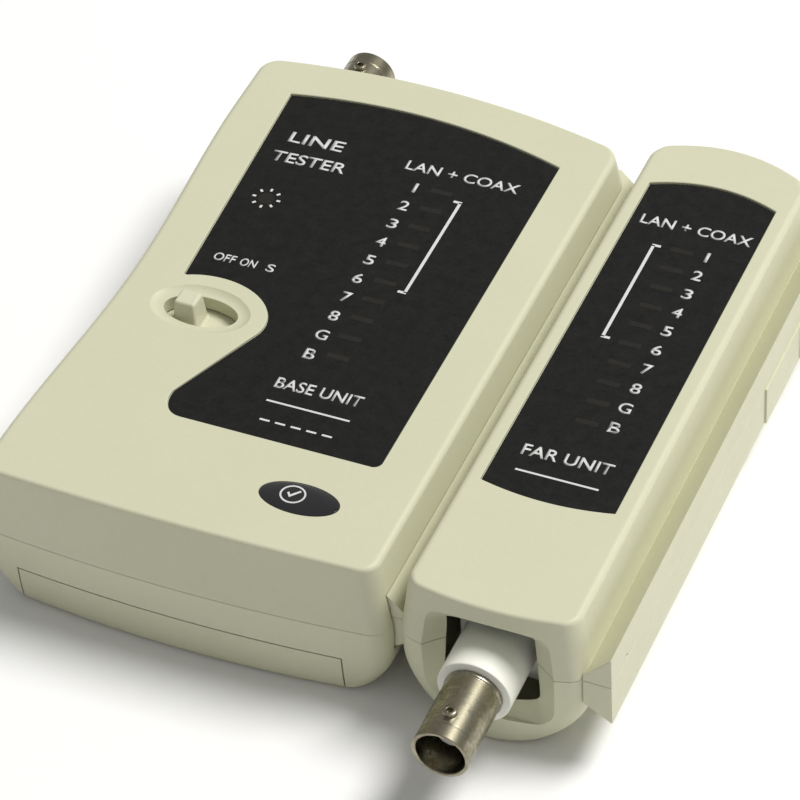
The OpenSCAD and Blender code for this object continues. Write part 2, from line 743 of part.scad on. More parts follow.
module remote_top_shell() {
    color(ivory) difference() {
        union() {
            difference() {
                union() {
                    translate([dock_pitch, 0, 0]) case_block(remote_top_levels, 3, 0);
                    intersection() {
                        rails();
                        box([0, -80, remote_parting], [100, 80, 40]);
                    }
                }
                translate([dock_pitch, 0, 0]) case_block(remote_cavity_levels, 1, 0);
            }
            top_posts(remote_posts);
        }
        pilot_holes(remote_posts);
        translate([0, 0, overlay_z]) linear_extrude(2) remote_overlay_shape(overlay_room);
        lamp_row(remote_lamp_at, lamp_len + 0.3, lamp_w + 0.3, ceiling - 1, case_h);
        jack_window(remote_jack_at);
        remote_coax_window();
    }
}

module remote_bottom_shell() {
    color(ivory) difference() {
        union() {
            difference() {
                union() {
                    translate([dock_pitch, 0, 0]) case_block(remote_low_levels, 0, 0);
                    intersection() {
                        rails();
                        box([0, -80, 0], [100, 80, remote_parting]);
                    }
                }
                translate([dock_pitch, 0, 0]) case_block(remote_cavity_levels, 1, 0);
            }
            low_posts(remote_posts);
        }
        screw_wells(remote_posts);
        jack_window(remote_jack_at);
        remote_coax_window();
    }
}

module remote_overlay() {
    color([0.13, 0.13, 0.12]) translate([0, 0, overlay_z]) linear_extrude(overlay_t) remote_overlay_shape(0);
}

module remote_circuit_board() {
    color(board_green) board(remote_board, remote_posts) legs(remote_lamp_at, 0.35);
}

module remote_lamps() {
    bar_lamps(remote_lamp_at);
}

module remote_diodes() {
    for (i = [0:7]) axial([dock_pitch + 5, 26 - i * 5], 4, 2);
}

module remote_jack_housing() {
    jack_housing(remote_jack_at);
}
module remote_jack_contacts() {
    jack_contacts(remote_jack_at);
}

module remote_coax_body() {
    at_remote_coax() coax_body();
}
module remote_coax_barrel() {
    at_remote_coax() coax_barrel();
}
module remote_coax_insulator() {
    at_remote_coax() coax_insulator();
}
module remote_coax_contact() {
    at_remote_coax() coax_contact();
}

module remote_case_screws() {
    case_screws(remote_posts);
}

master_top_shell();
master_bottom_shell();
battery_door();
master_overlay();
oval_badge();
switch_knob();
switch_contact_slider();
slide_switch_body();
master_circuit_board();
master_lamps();
power_lamp();
counter_chip();
timer_chip();
master_resistors();
timing_capacitor();
master_jack_housing();
master_jack_contacts();
master_coax_body();
master_coax_barrel();
master_coax_insulator();
master_coax_contact();
nine_volt_battery();
battery_terminals();
battery_snap();
positive_lead();
negative_lead();
master_case_screws();
remote_top_shell();
remote_bottom_shell();
remote_overlay();
remote_circuit_board();
remote_lamps();
remote_diodes();
remote_jack_housing();
remote_jack_contacts();
remote_coax_body();
remote_coax_barrel();
remote_coax_insulator();
remote_coax_contact();
remote_case_screws();
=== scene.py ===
import math

import bmesh
import bpy
from mathutils import Matrix, Vector


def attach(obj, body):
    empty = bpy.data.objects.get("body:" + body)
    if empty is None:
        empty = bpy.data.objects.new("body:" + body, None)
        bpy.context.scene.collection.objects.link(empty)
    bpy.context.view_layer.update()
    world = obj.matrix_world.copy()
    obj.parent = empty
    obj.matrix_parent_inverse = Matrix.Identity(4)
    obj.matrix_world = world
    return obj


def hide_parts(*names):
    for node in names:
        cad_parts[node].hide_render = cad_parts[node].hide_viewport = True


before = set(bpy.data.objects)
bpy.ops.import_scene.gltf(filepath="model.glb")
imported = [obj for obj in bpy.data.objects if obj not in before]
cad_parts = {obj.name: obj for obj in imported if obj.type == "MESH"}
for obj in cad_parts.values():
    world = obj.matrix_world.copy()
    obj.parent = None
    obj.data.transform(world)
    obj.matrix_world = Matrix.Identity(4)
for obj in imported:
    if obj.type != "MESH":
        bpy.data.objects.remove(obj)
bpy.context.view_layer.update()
MM = 0.001

# --- Camera -------------------------------------------------------------------------------
# A long lens looks down on the near right corner, turned a little to the left and rolled.
eye = Vector((0.22415, -0.43826, 0.46654))
turn, tilt, roll = math.radians(25.60), math.radians(43.30), math.radians(3.78)
look = Vector((-math.sin(turn) * math.cos(tilt), math.cos(turn) * math.cos(tilt), -math.sin(tilt)))
level = look.cross(Vector((0, 0, 1))).normalized()
camera_right = math.cos(roll) * level + math.sin(roll) * look.cross(level)
camera_up = (-look).cross(camera_right)
camera = bpy.data.objects.new("camera", bpy.data.cameras.new("camera"))
camera.data.sensor_width = 36
camera.data.lens = 174.3
turned_to = Matrix((camera_right, camera_up, -look)).transposed().to_4x4()
camera.matrix_world = Matrix.Translation(eye) @ turned_to
bpy.context.scene.collection.objects.link(camera)
bpy.context.scene.camera = camera
bpy.context.scene.view_settings.view_transform = "Standard"

# --- Floor, light and surroundings --------------------------------------------------------
# A near-white table under one broad soft light, high on the right and a little behind.
floor_half = 1.6
floor_maker = bmesh.new()
floor_corners = [(x * floor_half, y * floor_half) for x, y in ((-1, -1), (1, -1), (1, 1), (-1, 1))]
floor_maker.faces.new([floor_maker.verts.new((x, y, 0)) for x, y in floor_corners])
floor_mesh = bpy.data.meshes.new("floor")
floor_maker.to_mesh(floor_mesh)
floor_maker.free()
floor = bpy.data.objects.new("floor", floor_mesh)
bpy.context.scene.collection.objects.link(floor)
floor_paint = bpy.data.materials.new("floor_paint")
floor_paint.use_nodes = True
floor_shader = floor_paint.node_tree.nodes["Principled BSDF"]
floor_shader.inputs["Base Color"].default_value = (0.93, 0.93, 0.93, 1)
floor_shader.inputs["Roughness"].default_value = 0.9
floor_shader.inputs["Specular IOR Level"].default_value = 0.1
floor_mesh.materials.append(floor_paint)

key = bpy.data.objects.new("key", bpy.data.lights.new("key", "AREA"))
key.data.shape = "DISK"
key.data.size = 1.0
key.data.energy = 56
key.data.color = (1.0, 0.99, 0.97)
key_from = Vector((0.42, 0.28, 0.865)).normalized()
key_distance = 2.4
key.location = key_distance * key_from
key.rotation_mode = "QUATERNION"
key.rotation_quaternion = key_from.to_track_quat("Z", "Y")
bpy.context.scene.collection.objects.link(key)
world = bpy.data.worlds.new("studio")
world.use_nodes = True
world.node_tree.nodes["Background"].inputs["Color"].default_value = (0.30, 0.30, 0.30, 1)
bpy.context.scene.world = world

# --- Master case, top half ----------------------------------------------------------------
# The upper moulding of the master unit, ivory ABS from a polished tool: a waisted body with
# drafted sides, a soft top edge, a recess for the printed film and a dish around the switch.


def outline(w, near, near_bow, far, far_bow, r, dip=0.0, middle=0.0):
    """Plan of a case at one height, anticlockwise: bowed ends, round corners, waisted left side."""
    skew = 0.045
    corner, bowed, sides = 10, 36, 40

    def near_y(x):
        return near - near_bow * (1 - (x / w) ** 2)

    def far_y(x):
        return far + far_bow * (1 - (x / w) ** 2) - skew * x

    def waist(y):
        return dip * math.cos(math.radians(90 * (y + 4.5) / 48)) ** 2 if abs(y + 4.5) < 48 else 0.0

    arc = [math.pi / 2 * i / corner for i in range(corner + 1)]
    right_arc = [(w - r + r * math.sin(a), r * (1 - math.cos(a))) for a in arc]
    across = [(w - r) * (2 * i / bowed - 1) for i in range(1, bowed)]
    points = [(-x, near_y(-x) + rise) for x, rise in reversed(right_arc)]
    points += [(x, near_y(x)) for x in across]
    points += [(x, near_y(x) + rise) for x, rise in right_arc]
    low, high = near_y(w) + r, far_y(w) - r
    points += [(w, low + (high - low) * i / sides) for i in range(1, sides)]
    points += [(x, far_y(x) - rise) for x, rise in reversed(right_arc)]
    points += [(-x, far_y(-x)) for x in across]
    points += [(-x, far_y(-x) - rise) for x, rise in right_arc]
    high = far_y(-w) - r
    points += [(-w, high + (low - high) * i / sides) for i in range(1, sides)]
    waisted = []
    for x, y in points:
        pull = waist(y) * min(1, (-x / w) ** 8) if x < 0 else 0
        waisted.append((middle + x + pull, y))
    return waisted


def shrunk(points, amount):
    """The same plan moved inwards; amount is a distance or a function of the outward normal."""
    moved = []
    for i, (x, y) in enumerate(points):
        (x0, y0), (x1, y1) = points[i - 1], points[(i + 1) % len(points)]
        length = math.hypot(x1 - x0, y1 - y0)
        nx, ny = (y1 - y0) / length, (x0 - x1) / length
        share = amount(nx, ny) if callable(amount) else amount
        moved.append((x - share * nx, y - share * ny))
    return moved


def lofted(name, rings, closed=False, place=None):
    """A closed skin through rings of points in millimetres, capped at both ends unless closed."""
    place = place or Matrix.Identity(4)
    maker = bmesh.new()
    loops = [[maker.verts.new(place @ Vector(p) * MM) for p in ring] for ring in rings]
    count = len(rings[0])
    for low, high in zip(loops, loops[1:] + (loops[:1] if closed else [])):
        for i in range(count):
            maker.faces.new((low[i], low[(i + 1) % count], high[(i + 1) % count], high[i]))
    if not closed:
        maker.faces.new(loops[0][::-1])
        maker.faces.new(loops[-1])
    bmesh.ops.recalc_face_normals(maker, faces=maker.faces)
    mesh = bpy.data.meshes.new(name)
    maker.to_mesh(mesh)
    maker.free()
    made = bpy.data.objects.new(name, mesh)
    bpy.context.scene.collection.objects.link(made)
    return made


def carved(piece, tools, how="DIFFERENCE"):
    """Cuts the tools out of the piece, or joins or intersects them, and throws the tools away."""
    for tool in tools:
        step = piece.modifiers.new("carve", "BOOLEAN")
        step.operation = how
        step.solver = "EXACT"
        step.object = tool
    bpy.context.view_layer.update()
    shaped = piece.evaluated_get(bpy.context.evaluated_depsgraph_get())
    mesh = bpy.data.meshes.new_from_object(shaped)
    piece.modifiers.clear()
    piece.data = mesh
    mesh.name = piece.name
    for tool in tools:
        bpy.data.objects.remove(tool)
    return piece


def copied(piece, name):
    twin = bpy.data.objects.new(name, piece.data.copy())
    bpy.context.scene.collection.objects.link(twin)
    return twin


def flat(points, z):
    return [(x, y, z) for x, y in points]


def block(low, high):
    """A plain cutting block."""
    (x0, y0, z0), (x1, y1, z1) = low, high
    corners = [(x0, y0), (x1, y0), (x1, y1), (x0, y1)]
    return lofted("tool", [flat(corners, z0), flat(corners, z1)])


def oval(at, half, steps=72):
    turns = [2 * math.pi * i / steps for i in range(steps)]
    return [(at[0] + half[0] * math.cos(a), at[1] + half[1] * math.sin(a)) for a in turns]


def smoothed(piece, angle=32):
    """Smooth shading with crisp edges past the angle, weighted towards the large faces."""
    piece.data.polygons.foreach_set("use_smooth", [True] * len(piece.data.polygons))
    piece.data.set_sharp_from_angle(angle=math.radians(angle))
    weighted = piece.modifiers.new("weighted", "WEIGHTED_NORMAL")
    weighted.keep_sharp = True
    return piece


def fitted(piece, material, body, slot, *nodes):
    """Gives a finished piece its material, its body and the nodes that it stands for."""
    piece.data.materials.clear()
    piece.data.materials.append(material)
    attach(piece, body)
    if nodes:
        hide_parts(*nodes)
    return piece


def socketed(name, inputs, outputs):
    """A node group with the given inputs and outputs, ready to be wired."""
    group = bpy.data.node_groups.new(name, "ShaderNodeTree")
    for label, kind, value in inputs:
        socket = group.interface.new_socket(label, in_out="INPUT", socket_type=kind)
        socket.default_value = value
    for label, kind in outputs:
        group.interface.new_socket(label, in_out="OUTPUT", socket_type=kind)
    entry = group.nodes.new("NodeGroupInput")
    leave = group.nodes.new("NodeGroupOutput")
    return group, entry, leave


def blended(tree, low, high, share):
    """Mixes two colours, each a socket or a plain colour, by a share."""
    share_in, low_in, high_in, colour_out = 0, 6, 7, 2
    mix = tree.nodes.new("ShaderNodeMix")
    mix.data_type = "RGBA"
    for place, value in ((share_in, share), (low_in, low), (high_in, high)):
        if isinstance(value, bpy.types.NodeSocket):
            tree.links.new(value, mix.inputs[place])
        else:
            mix.inputs[place].default_value = value
    return mix.outputs[colour_out]


def remapped(tree, value, low, high, to_low, to_high):
    step = tree.nodes.new("ShaderNodeMapRange")
    for label, number in (("From Min", low), ("From Max", high), ("To Min", to_low), ("To Max", to_high)):
        step.inputs[label].default_value = number
    tree.links.new(value, step.inputs["Value"])
    return step.outputs["Result"]


COLOUR, VALUE, VECTOR = "NodeSocketColor", "NodeSocketFloat", "NodeSocketVector"

# Rounded corners for the light to catch, and a mask of those corners, which the materials use to paint a
# lighter highlight along them.
soft_edges, entry, leave = socketed(
    "soft_edges", [("Radius", VALUE, 0.0002)], [("Normal", VECTOR), ("Edge", VALUE)]
)
bevel = soft_edges.nodes.new("ShaderNodeBevel")
bevel.samples = 6
soft_edges.links.new(entry.outputs["Radius"], bevel.inputs["Radius"])
geometry = soft_edges.nodes.new("ShaderNodeNewGeometry")
agree = soft_edges.nodes.new("ShaderNodeVectorMath")
agree.operation = "DOT_PRODUCT"
soft_edges.links.new(bevel.outputs["Normal"], agree.inputs[0])
soft_edges.links.new(geometry.outputs["Normal"], agree.inputs[1])
soft_edges.links.new(bevel.outputs["Normal"], leave.inputs["Normal"])
soft_edges.links.new(remapped(soft_edges, agree.outputs["Value"], 0.99, 0.82, 0, 1), leave.inputs["Edge"])

# Slow patches of tone with finer specks in them, as moulded or printed surfaces have; on the nickel the dark
# patches are painted reflections.
patches, entry, leave = socketed(
    "patches",
    [
        ("Colour", COLOUR, (1, 1, 1, 1)), ("Tone", COLOUR, (0, 0, 0, 1)),
        ("Scale", VALUE, 60.0), ("Specks", VALUE, 900.0),
    ],
    [("Colour", COLOUR), ("Share", VALUE)],
)
where = patches.nodes.new("ShaderNodeTexCoord")
shares = []
for label, detail in (("Scale", 3), ("Specks", 2)):
    noise = patches.nodes.new("ShaderNodeTexNoise")
    noise.inputs["Detail"].default_value = detail
    patches.links.new(where.outputs["Object"], noise.inputs["Vector"])
    patches.links.new(entry.outputs[label], noise.inputs["Scale"])
    shares.append(remapped(patches, noise.outputs["Fac"], 0.3, 0.7, 0, 1))
both = patches.nodes.new("ShaderNodeMath")
both.operation = "MULTIPLY_ADD"
both.use_clamp = True
both.inputs[1].default_value = 0.45
patches.links.new(shares[1], both.inputs[0])
slow = patches.nodes.new("ShaderNodeMath")
slow.operation = "MULTIPLY"
slow.inputs[1].default_value = 0.55
patches.links.new(shares[0], slow.inputs[0])
patches.links.new(slow.outputs["Value"], both.inputs[2])
tinted = blended(patches, entry.outputs["Colour"], entry.outputs["Tone"], both.outputs["Value"])
patches.links.new(tinted, leave.inputs["Colour"])
patches.links.new(both.outputs["Value"], leave.inputs["Share"])

# Fine grain in the surface, laid over a normal that comes in.
grain, entry, leave = socketed(
    "grain",
    [("Scale", VALUE, 3000.0), ("Strength", VALUE, 0.05), ("Normal", VECTOR, (0, 0, 0))],
    [("Normal", VECTOR)],
)
where = grain.nodes.new("ShaderNodeTexCoord")
noise = grain.nodes.new("ShaderNodeTexNoise")
noise.inputs["Detail"].default_value = 4
bump = grain.nodes.new("ShaderNodeBump")
bump.inputs["Distance"].default_value = 0.0001
grain.links.new(where.outputs["Object"], noise.inputs["Vector"])
grain.links.new(entry.outputs["Scale"], noise.inputs["Scale"])
grain.links.new(noise.outputs["Fac"], bump.inputs["Height"])
grain.links.new(entry.outputs["Strength"], bump.inputs["Strength"])
grain.links.new(entry.outputs["Normal"], bump.inputs["Normal"])
grain.links.new(bump.outputs["Normal"], leave.inputs["Normal"])


def placed(tree, group, **values):
    """Puts a node group into a material with its own values."""
    node = tree.nodes.new("ShaderNodeGroup")
    node.node_tree = group
    for label, value in values.items():
        if isinstance(value, bpy.types.NodeSocket):
            tree.links.new(value, node.inputs[label])
        else:
            node.inputs[label].default_value = value
    return node.outputs


def moulded(name, colour, tone, rough, edge, soft=0.00015, scale=60.0, specks=900.0, fine=3000.0, bumps=0.05):
    """A material of patches, edges lightened as painted highlight, and grain; rough is the lowest and highest
    roughness.
    """
    material = bpy.data.materials.new(name)
    material.use_nodes = True
    tree = material.node_tree
    shader = shader_of(material)
    edges = placed(tree, soft_edges, Radius=soft)
    tones = placed(tree, patches, Colour=(*colour, 1), Tone=(*tone, 1), Scale=scale, Specks=specks)
    surface = placed(tree, grain, Scale=fine, Strength=bumps, Normal=edges["Normal"])
    # Painted highlight: the edge colour, lighter than the surface, is laid along every edge through the mask.
    painted_edge_highlight = blended(tree, tones["Colour"], (*edge, 1), remapped(tree, edges["Edge"], 0, 1, 0, 0.6))
    tree.links.new(painted_edge_highlight, shader.inputs["Base Color"])
    tree.links.new(remapped(tree, tones["Share"], 0, 1, *rough), shader.inputs["Roughness"])
    tree.links.new(surface["Normal"], shader.inputs["Normal"])
    return material


def shader_of(material):
    return material.node_tree.nodes["Principled BSDF"]


ivory_abs = moulded(
    "ivory_abs", (0.625, 0.622, 0.455), (0.595, 0.592, 0.425), (0.42, 0.5), (0.72, 0.71, 0.56), bumps=0.06
)
shader_of(ivory_abs).inputs["Specular IOR Level"].default_value = 0.35

case_top = 29.0
wall = 2.2
master_parting = 15.4
groove_line = 0.11


def upper_outline(z, half, draft, parting, near, bows, far, far_bow, dip, middle):
    """Plan of an upper case half at a height: it leans out by the draft down to the parting line."""
    drop = (27.8 - z) / (27.8 - parting)
    return outline(
        half + draft * drop,
        near[0] + (near[1] - near[0]) * drop,
        bows[0] + (bows[1] - bows[0]) * drop,
        far[0] + (far[1] - far[0]) * drop,
        far_bow,
        3.2 if dip else 2.6,
        dip,
        middle,
    )


def upper_rings(plan, parting):
    """Rings of an upper half: parting line, drafted sides, rounded top edge and flat top."""
    rings = [
        flat(shrunk(plan(parting), groove_line), parting),
        flat(plan(parting + groove_line), parting + groove_line),
    ]
    rings += [flat(plan(z), z) for z in (parting + 1.5, 20, 23, 26)]

    def edge_radius(nx, ny):
        return 1.2 * nx * nx + (0.62 if ny < 0 else 0.85) * ny * ny

    steps = 8
    for i in range(steps + 1):
        a = math.pi / 2 * i / steps
        ring = []
        base = plan(case_top - 0.6)
        inner = shrunk(base, lambda nx, ny: edge_radius(nx, ny) * (1 - math.cos(a)))
        for j, (x, y) in enumerate(inner):
            (x0, y0), (x1, y1) = base[j - 1], base[(j + 1) % len(base)]
            length = math.hypot(x1 - x0, y1 - y0)
            r = edge_radius((y1 - y0) / length, (x0 - x1) / length)
            ring.append((x, y, case_top - r * (1 - math.sin(a))))
        rings.append(ring)
    rings.append(flat(shrunk(plan(case_top - 0.6), lambda nx, ny: edge_radius(nx, ny) + 0.2), case_top))
    return rings


def master_upper(z):
    return upper_outline(z, 35.3, 1.8, master_parting, (-57.7, -58.4), (0.95, 2), (54.3, 55.4), 4.1, 2.4, 0)


def master_hollow():
    """The space inside the master's case, as one cutting block through both halves."""
    rows = [
        (wall, 27, -55.8, 52.7), (5.5, 31, -56, 52.9),
        (9, 32.4, -56, 53), (case_top - wall, 32.4, -55.4, 51.8),
    ]
    return lofted("tool", [flat(outline(w, near, 1.6, far, 4.1, 2, 2.1), z) for z, w, near, far in rows])


dock_pitch = 54.7
rail_section = {
    "reach": 20.3, "root": 15.4, "out_top": 23.7, "out_low": 9.0, "neck_top": 18.56, "neck_low": 12.19,
}


def dock_groove():
    """The groove in the master's right side: the rail's section with room, closed at the near end."""
    gap = 0.35
    s = rail_section
    inner, outer = dock_pitch - s["reach"] - gap, dock_pitch - s["root"]
    section = [
        (inner, s["out_low"] - 1.6 * gap), (outer, s["neck_low"] - gap),
        (outer, s["neck_top"] + gap), (inner, s["out_top"] + 2 * gap),
    ]
    return lofted("tool", [[(x, y, z) for x, z in section] for y in (-55.6, 70)])


def case_posts(places, low, high, r):
    """Round posts or bores for the case screws, one at each place."""
    return [lofted("post", [flat(oval(at, (r, r), 32), z) for z in (low, high)]) for at in places]


boss_r, pilot_r = 3, 1.33
master_posts = [(-23, -20), (23, -20), (-23, 28.6), (23, 28.6)]
slot_at = (-17.2, -10.4)
dish_half, slot_half = (9.2, 5.65), (6.75, 3.55)
dish_sink = 0.62
film_low, film_top = 28.45, 28.70
film_room = 0.16


def master_film(grow):
    """Outline of the master's printed film, which wraps round the switch."""
    right, low, r = 26.5 + grow, -35.4 - grow, 1.5
    corner = [(right - r + r * math.sin(a), low + r - r * math.cos(a)) for a in
              [math.pi / 2 * i / 10 for i in range(11)]]
    top = []
    for i in range(41):
        t = i / 40
        top.append((right - t * (right + 26.3 + grow), 44.6 + grow + 3 * t + 3.6 * (1 - (2 * t - 1) ** 2)))
    scoop = [(-17 + (12 - grow) * math.cos(a), -10.7 + (8.9 - grow) * math.sin(a)) for a in
             [math.radians(121 - 141 * i / 36) for i in range(37)]]
    foot = [(-9.2 + (3.6 + grow) * math.cos(a), low + 4.3 + 4.3 * math.sin(a)) for a in
            [math.radians(165 + 105 * i / 12) for i in range(13)]]
    return corner + top + [(-23.6 - grow, -2.9 - grow)] + scoop + foot


def film_recess(shape):
    """Cuts the sunken bed that a film lies in, with a softened upper edge."""
    return lofted("tool", [
        flat(shape(film_room), film_low), flat(shape(film_room), case_top - 0.12),
        flat(shape(film_room + 0.14), case_top + 0.02), flat(shape(film_room + 0.14), case_top + 1),
    ])


def switch_opening():
    """The smooth dish around the switch and the oval slot through its floor."""
    rings = [flat(oval(slot_at, slot_half), 23), flat(oval(slot_at, slot_half), case_top - dish_sink - 0.1)]
    steps = 10
    for i in range(steps + 1):
        t = i / steps
        half = [slot_half[k] + 0.1 + (dish_half[k] - slot_half[k] - 0.1) * t for k in (0, 1)]
        rings.append(flat(oval(slot_at, half), case_top - dish_sink * (1 - t ** 2.2)))
    rings.append(flat(oval(slot_at, [h + 0.3 for h in dish_half]), case_top + 0.3))
    return lofted("tool", rings)


badge_at, badge_half, badge_low = (17.3, -46.4), (6.9, 3.3), 28.5
badge_bed = [h + 0.15 for h in badge_half]
jack_x, jack_low, jack_high = 14.0, 8.9, 22.3
coax_z = 15.0
coax_x, coax_rim = -22.6, 73.9


def jack_opening(x):
    return block((x - 8.2, 44, jack_low - 0.25), (x + 8.2, 72, jack_high + 0.25))


coax_room = 6.7


def round_opening(x, z, r, y0, y1, steps=64, place=None):
    """A cutting cylinder along Y."""
    turns = [2 * math.pi * i / steps for i in range(steps)]
    rings = [[(x + r * math.cos(a), y, z + r * math.sin(a)) for a in turns] for y in (y0, y1)]
    return lofted("tool", rings, place=place)


master_top = lofted("master_top_case", upper_rings(master_upper, master_parting))
carved(master_top, [master_hollow()])
collar_half = [h + 1.2 for h in slot_half]
collar = lofted("collar", [flat(oval(slot_at, collar_half), z) for z in (25.8, 27.2)])
carved(master_top, [collar] + case_posts(master_posts, 10, 27.2, boss_r), "UNION")
carved(master_top, [
    dock_groove(), film_recess(master_film), switch_opening(), jack_opening(jack_x),
    round_opening(coax_x, coax_z, coax_room, 50, 70),
    lofted("tool", [flat(oval(badge_at, badge_bed), z) for z in (badge_low, 30)]),
] + case_posts(master_posts, 9, 20, pilot_r))
smoothed(master_top)
fitted(master_top, ivory_abs, "master", "ivory_case", "master_top_shell")

# --- Master case, bottom half, and battery door -------------------------------------------
# The lower moulding in the same ABS, rounded like a boat's hull, with wells for four screws.
# The battery door is cut from the same surface and slides off towards the near end.


def hull_rings(parting, foot, spread, power, near, near_bow, far, far_bow, corner, dip, middle):
    """Rings of a lower half, from the resting face up a rounded bilge to the parting line."""
    rings = []
    steps = 14
    for i in range(steps + 1):
        t = math.pi / 2 * i / steps
        w = foot + spread * math.sin(t) ** (2 / power)
        z = 13 * (1 - math.cos(t) ** (2 / power))
        tuck = 1.5 * (1 - math.sqrt(1 - (1 - min(z, 1.5) / 1.5) ** 2))
        lean = 0.4 * (1 - z / parting)
        r = min(corner, 2 + 1.5 * z / 3.4)
        plan = outline(w, near + tuck + lean, near_bow, far - tuck - lean, far_bow, r, dip, middle)
        if i == 0:
            rings.append(flat(shrunk(plan, 0.25), 0))
        rings.append(flat(plan, z))
    widest = outline(foot + spread, near, near_bow, far, far_bow, corner, dip, middle)
    for z, inward in ((parting - groove_line, 0), (parting, groove_line)):
        rings.append(flat(shrunk(widest, inward), z))
    return rings


door_x, door_far, door_top, door_gap = (-30.0, 29.0), -26.2, 8.4, 0.25
master_low = lofted(
    "master_bottom_case", hull_rings(master_parting, 27.2, 9.9, 2.3, -58.4, 2, 55.4, 4.1, 3.5, 2.4, 0)
)
door = copied(master_low, "battery_door_cover")
carved(master_low, [master_hollow()])
foot_r, head_r, shank_r = 3.6, 2.8, 1.55
carved(master_low, case_posts(master_posts, 1, 9, foot_r), "UNION")
carved(master_low, [
    block((door_x[0], -70, -1), (door_x[1], door_far, door_top)), dock_groove(), jack_opening(jack_x),
    round_opening(coax_x, coax_z, coax_room, 50, 70),
] + case_posts(master_posts, -1, 7, head_r) + case_posts(master_posts, -1, 12, shank_r))
smoothed(master_low)
fitted(master_low, ivory_abs, "master", "ivory_case", "master_bottom_shell")

door_high = (door_x[1] - door_gap, door_far - door_gap, door_top - door_gap)
carved(door, [block((door_x[0] + door_gap, -70, -1), door_high)], "INTERSECT")
carved(door, [master_hollow()])
tongue_half = 11.5
tongue_near, tongue_far, tongue_top = -28.2, -23.8, 3.5
carved(door, [
    block((-tongue_half, tongue_near, 1.5), (tongue_half, door_far - door_gap, tongue_top)),
    block((-tongue_half, tongue_near, 2.45), (tongue_half, tongue_far, tongue_top)),
], "UNION")
grips = []
for i in range(5):
    half, y = 9 - 0.6 * i, -49.5 + 2.4 * i
    section = [(y - 0.55, -0.2), (y + 0.55, -0.2), (y + 0.35, 0.5), (y - 0.35, 0.5)]
    grips.append(lofted("tool", [[(x, a, z) for a, z in section] for x in (-half, half)]))
carved(door, grips)
smoothed(door)
fitted(door, ivory_abs, "battery_door", "ivory_case", "battery_door")

# --- Remote case ---------------------------------------------------------------------------
# The narrow second unit in the same ABS, keel-shaped below, with a dovetail rail along each
# side and a funnel in its near end around the coaxial connector.

remote_parting = 17.4
remote_posts = [(dock_pitch, -34), (dock_pitch, 36)]


def remote_upper(z):
    return upper_outline(
        z, 14.7, 1.4, remote_parting, (-57, -57.8), (1.75, 2.8), (55.6, 56.4), 4.2, 0, dock_pitch
    )


def remote_hollow():
    rows = [(wall, 9.1, -54.8, 53.4), (4.5, 11.9, -55, 53.6), (7.5, 13.9, -55.2, 53.8), (12, 14.3, -55.2, 54),
            (case_top - wall, 12.6, -54.4, 53)]
    return lofted("tool", [
        flat(outline(min(w, 12.6), near, 2.4, far, 4.2, 1.6, 0, dock_pitch), z) for z, w, near, far in rows
    ])


def remote_film(grow):
    """Outline of the remote's printed film, with both ends bowed."""
    x0, x1 = 43 - grow, 65.9 + grow
    points = []
    for i in range(25):
        t = i / 24
        points.append((x0 + t * (x1 - x0), -31.8 - grow - 1.4 * (1 - (2 * t - 1) ** 2)))
    for i in range(25):
        t = i / 24
        points.append((x1 - t * (x1 - x0), 46.2 + grow + 2.6 * (1 - (2 * t - 1) ** 2)))
    return points


def rail_half(side, upper):
    """One rail above or below the parting line, with small chamfers on its outer edges."""
    s = rail_section
    slope = (s["out_top"] - s["neck_top"]) / (s["reach"] - s["root"])
    cut = 0.18
    if upper:
        section = [
            (s["root"], remote_parting), (s["reach"] - groove_line, remote_parting),
            (s["reach"], remote_parting + groove_line), (s["reach"], s["out_top"] - cut),
            (s["reach"] - cut, s["out_top"] - cut * slope), (s["root"], s["neck_top"]),
        ]
    else:
        section = [
            (s["root"], s["neck_low"]), (s["reach"] - cut, s["out_low"] + cut * 0.65),
            (s["reach"], s["out_low"] + cut), (s["reach"], remote_parting - groove_line),
            (s["reach"] - groove_line, remote_parting), (s["root"], remote_parting),
        ]
    rings = []
    near = -57.5 if side > 0 else -55.25
    for y, inward in ((near, 0.15), (near + 0.15, 0), (53.85, 0), (54, 0.15)):
        middle_x = sum(x for x, z in section) / len(section)
        middle_z = sum(z for x, z in section) / len(section)
        rings.append([
            (dock_pitch + side * (x + (middle_x - x) * inward / 5), y, z + (middle_z - z) * inward / 5)
            for x, z in section
        ])
    return lofted("rail", rings)


def rounded_plan(at, half, r, steps=8):
    """A rectangle with round corners."""
    points = []
    for turn_start, side, end in ((0, 1, 1), (90, -1, 1), (180, -1, -1), (270, 1, -1)):
        corner = (at[0] + side * (half[0] - r), at[1] + end * (half[1] - r))
        for i in range(steps + 1):
            a = math.radians(turn_start + 90 * i / steps)
            points.append((corner[0] + r * math.cos(a), corner[1] + r * math.sin(a)))
    return points


def rounded_frame(at, half, r, y):
    """The same rectangle standing across the Y axis."""
    return [(x, y, z) for x, z in rounded_plan(at, half, r)]


remote_coax_x = dock_pitch - 0.5


def funnel(grow=0.0):
    """The opening in the remote's near end: a flared mouth that narrows to a squarish window."""
    window_at, window = (remote_coax_x - 0.1, 16.35), (7.4 + grow, 6.05 + grow)
    mouth_at, mouth = (dock_pitch, 16.25), (11.4 + grow, 9.95 + grow)
    rings = [rounded_frame(mouth_at, mouth, 3, -66)]
    steps = 10
    for i in range(steps + 1):
        t = 1 - i / steps
        at = [window_at[k] + (mouth_at[k] - window_at[k]) * t for k in (0, 1)]
        half = [window[k] + (mouth[k] - window[k]) * t for k in (0, 1)]
        rings.append(rounded_frame(at, half, 0.4 + 2.6 * t, -56.2 - 3.1 * t ** 1.2))
    rings.append(rounded_frame(window_at, window, 0.4, -48))
    return lofted("tool", rings)


def nose_relief():
    return round_opening(remote_coax_x, coax_z, 6.5, -62, -48)


